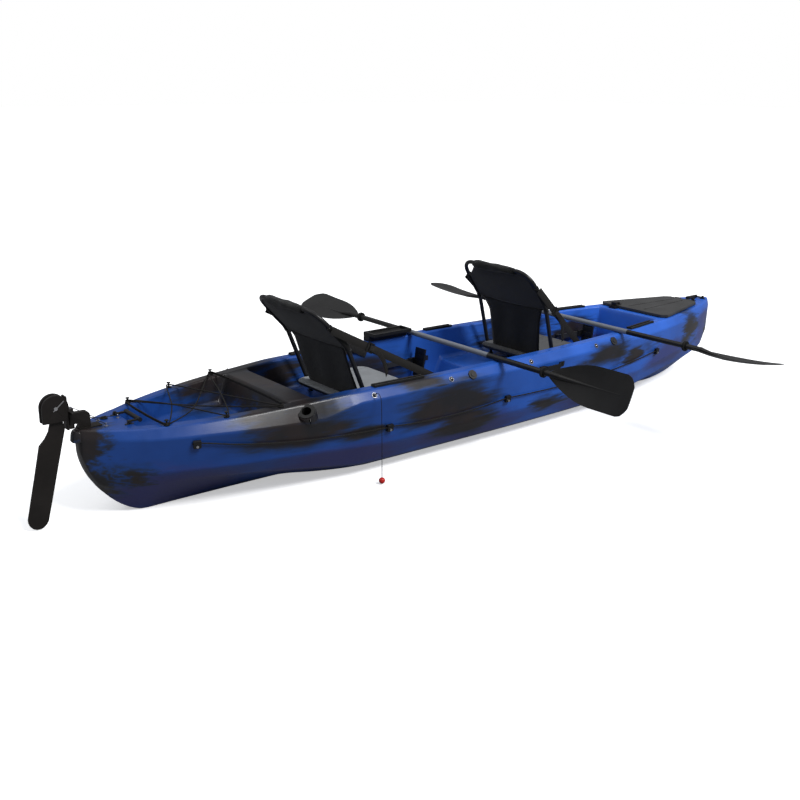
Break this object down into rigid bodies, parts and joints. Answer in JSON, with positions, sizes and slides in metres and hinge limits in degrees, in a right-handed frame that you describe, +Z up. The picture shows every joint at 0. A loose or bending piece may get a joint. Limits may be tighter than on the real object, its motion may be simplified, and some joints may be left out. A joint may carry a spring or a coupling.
{
  "type": "tandem kayak",
  "caption": "Sit-on-top tandem kayak with moulded hull, hinged bow hatch, framed folding seats, foot-steered kick-up rudder and double-bladed paddles across the gunwales.",
  "frame": {"origin": "on the centreline amidships, at the flat of the keel", "axes": "+X towards the bow, +Y to port, +Z up"},
  "size_m": [4.5244, 2.71, 0.8623],
  "materials": {
    "hull_shell": "satin moulded polyethylene with soft dark patches",
    "black_plastic": "fine-grained moulded plastic",
    "lid_plastic": "dark grey grained moulded plastic",
    "seal_rubber": "matt rubber",
    "stainless": "bright stainless steel",
    "cord_black": "braided cord",
    "ball_red": "glossy plastic",
    "rudder_black": "satin moulded plastic",
    "frame_tube": "black powder coat",
    "seat_fabric": "light grey woven sling fabric",
    "back_fabric": "black mesh and padded fabric",
    "webbing": "black webbing",
    "rail_grey": "dark grey moulded plastic",
    "shaft_grey": "satin grey tube",
    "paddle_black": "satin moulded plastic"
  },
  "bodies": {
    "hull": {"hull": "hull_shell", "hatch_seal": "seal_rubber", "hatch_hinge_brackets": "black_plastic", "hatch_hinge_pin": "stainless", "hatch_keeper": "black_plastic", "handle_saddles": "black_plastic", "bungee_lacing": "cord_black", "deck_hooks": "black_plastic", "grab_line_port": "cord_black", "grab_line_starboard": "cord_black", "grab_line_clips": "black_plastic", "clip_bolts": "stainless", "gear_tracks_port": "black_plastic", "gear_tracks_starboard": "black_plastic", "rail_block_port": "black_plastic", "fitting_plates": "rail_grey", "pad_eyes": "stainless", "side_handles": "black_plastic", "rod_holder_port": "black_plastic", "rod_holder_starboard": "black_plastic", "pull_cord": "cord_black", "pull_ball": "ball_red", "rudder_bracket": "rudder_black", "steering_pin": "stainless", "line_fairleads": "stainless", "steering_lines": "cord_black", "lift_line": "cord_black", "rear_seat_base": "frame_tube", "rear_seat_sling": "seat_fabric", "rear_seat_straps": "webbing", "rear_strap_buckles": "black_plastic", "front_seat_base": "frame_tube", "front_seat_sling": "seat_fabric", "front_seat_straps": "webbing", "front_strap_buckles": "black_plastic", "seat_bolts": "stainless", "foot_rails": "rail_grey"},
    "drain_plug": {"drain_plug": "black_plastic"},
    "hatch_lid": {"hatch_lid": "lid_plastic", "hatch_latch_pin": "stainless"},
    "hatch_latch": {"hatch_latch": "black_plastic"},
    "bow_handle": {"bow_handle": "black_plastic"},
    "stern_handle": {"stern_handle": "black_plastic"},
    "rudder_head": {"rudder_head": "rudder_black", "blade_pin": "stainless"},
    "rudder_blade": {"rudder_blade": "rudder_black"},
    "rear_seat_back": {"rear_seat_back": "frame_tube", "rear_back_sling": "back_fabric"},
    "front_seat_back": {"front_seat_back": "frame_tube", "front_back_sling": "back_fabric"},
    "rear_pedal_port": {"rear_pedal_port": "black_plastic"},
    "rear_pedal_starboard": {"rear_pedal_starboard": "black_plastic"},
    "front_pedal_port": {"front_pedal_port": "black_plastic"},
    "front_pedal_starboard": {"front_pedal_starboard": "black_plastic"},
    "rear_paddle": {"rear_paddle_shaft": "shaft_grey", "rear_paddle_blades": "paddle_black", "rear_paddle_rings": "seal_rubber"},
    "front_paddle": {"front_paddle_shaft": "shaft_grey", "front_paddle_blades": "paddle_black", "front_paddle_rings": "seal_rubber"}
  },
  "joints": [
    {"name": "rudder_steer", "type": "hinge", "parent": "hull", "child": "rudder_head", "pos_m": [-2.161, 0, 0.461], "axis": [0, 0, 1], "range_deg": [-35, 35], "deforming": ["steering_lines"]},
    {"name": "rudder_kick", "type": "hinge", "parent": "rudder_head", "child": "rudder_blade", "pos_m": [-2.227, 0, 0.52], "axis": [0, 1, 0], "range_deg": [0, 90]},
    {"name": "rear_back_fold", "type": "hinge", "parent": "hull", "child": "rear_seat_back", "pos_m": [-0.82, 0, 0.345], "axis": [0, 1, 0], "range_deg": [0, 100], "deforming": ["rear_seat_straps", "rear_strap_buckles"]},
    {"name": "front_back_fold", "type": "hinge", "parent": "hull", "child": "front_seat_back", "pos_m": [0.44, 0, 0.345], "axis": [0, 1, 0], "range_deg": [0, 85], "deforming": ["front_seat_straps", "front_strap_buckles"]},
    {"name": "hatch_open", "type": "hinge", "parent": "hull", "child": "hatch_lid", "pos_m": [1.913, 0, 0.4613], "axis": [0, 1, 0], "range_deg": [0, 100]},
    {"name": "latch_lift", "type": "hinge", "parent": "hatch_lid", "child": "hatch_latch", "pos_m": [1.419, 0.13, 0.4793], "axis": [0, 1, 0], "range_deg": [0, 90]},
    {"name": "stern_handle_lift", "type": "hinge", "parent": "hull", "child": "stern_handle", "pos_m": [-1.938, 0, 0.4203], "axis": [0, -1, 0], "range_deg": [0, 100]},
    {"name": "bow_handle_lift", "type": "hinge", "parent": "hull", "child": "bow_handle", "pos_m": [2.027, -0.026, 0.4603], "axis": [1, 0, 0], "range_deg": [0, 110]},
    {"name": "drain_plug_turn", "type": "hinge", "parent": "hull", "child": "drain_plug", "pos_m": [-1.995, 0.062, 0.41], "axis": [0, 0, 1], "continuous": true},
    {"name": "rear_pedal_port_slide", "type": "slide", "parent": "hull", "child": "rear_pedal_port", "axis": [1, 0, 0], "range_m": [-0.065, 0.065]},
    {"name": "rear_pedal_starboard_slide", "type": "slide", "parent": "hull", "child": "rear_pedal_starboard", "axis": [1, 0, 0], "range_m": [-0.065, 0.065]},
    {"name": "front_pedal_port_adjust", "type": "slide", "parent": "hull", "child": "front_pedal_port", "axis": [1, 0, 0], "range_m": [-0.08, 0.07]},
    {"name": "front_pedal_starboard_adjust", "type": "slide", "parent": "hull", "child": "front_pedal_starboard", "axis": [1, 0, 0], "range_m": [-0.08, 0.07]},
    {"name": "rear_paddle_lift", "type": "slide", "parent": "hull", "child": "rear_paddle", "axis": [0, 0, 1], "range_m": [0, 0.3]},
    {"name": "front_paddle_lift", "type": "slide", "parent": "hull", "child": "front_paddle", "axis": [0, 0, 1], "range_m": [0, 0.3]}
  ],
  "couplings": [
    {"joint": "rear_pedal_port_slide", "follows": "rudder_steer", "m_per_rad": -0.1},
    {"joint": "rear_pedal_starboard_slide", "follows": "rudder_steer", "m_per_rad": 0.1}
  ]
}
